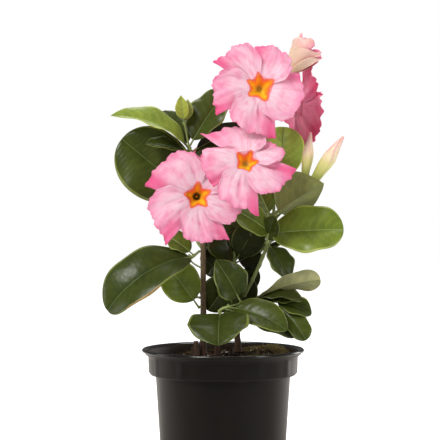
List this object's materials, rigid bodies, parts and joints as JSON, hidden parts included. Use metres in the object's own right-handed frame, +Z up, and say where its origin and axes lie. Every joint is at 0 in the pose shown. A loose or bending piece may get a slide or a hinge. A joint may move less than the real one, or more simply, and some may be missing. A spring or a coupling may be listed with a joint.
{
  "type": "potted flowering shrub",
  "caption": "Compact pink-flowered mandevilla with glossy opposite leaves on woody stems, growing in potting mix in a black plastic nursery pot that stands on its flat underside.",
  "frame": {"origin": "centre of the pot's flat underside", "axes": "+Z up along the pot's axis and the plant's height; +X to the right and -Y towards the viewer when the plant is faced from the front"},
  "size_m": [0.2224, 0.168, 0.4228],
  "materials": {
    "pot": "satin",
    "soil": "matte",
    "stem": "matte",
    "bough": "satin",
    "foliage": "satin",
    "bloom": "matte",
    "bud": "matte"
  },
  "bodies": {
    "root": {"pot": "pot", "soil": "soil", "stem_left": "stem", "stem_right": "stem", "stem_front": "stem", "bough_middle": "bough", "bough_right": "bough", "bough_top": "bough", "bough_buds": "bough", "bough_back_left": "bough", "bough_back_right": "bough", "bloom_front_left": "bloom", "bloom_middle": "bloom", "bloom_top": "bloom", "bloom_back_right": "bloom", "bloom_back": "bloom", "buds_right": "bud", "bud_opening": "bud", "foliage_upper_left": "foliage", "foliage_lower_left": "foliage", "foliage_low_left": "foliage", "foliage_front": "foliage", "foliage_inner": "foliage", "foliage_lower_right": "foliage", "foliage_right": "foliage", "foliage_top_right": "foliage", "foliage_back_left": "foliage", "foliage_back_right": "foliage", "foliage_back_low": "foliage"}
  },
  "joints": []
}
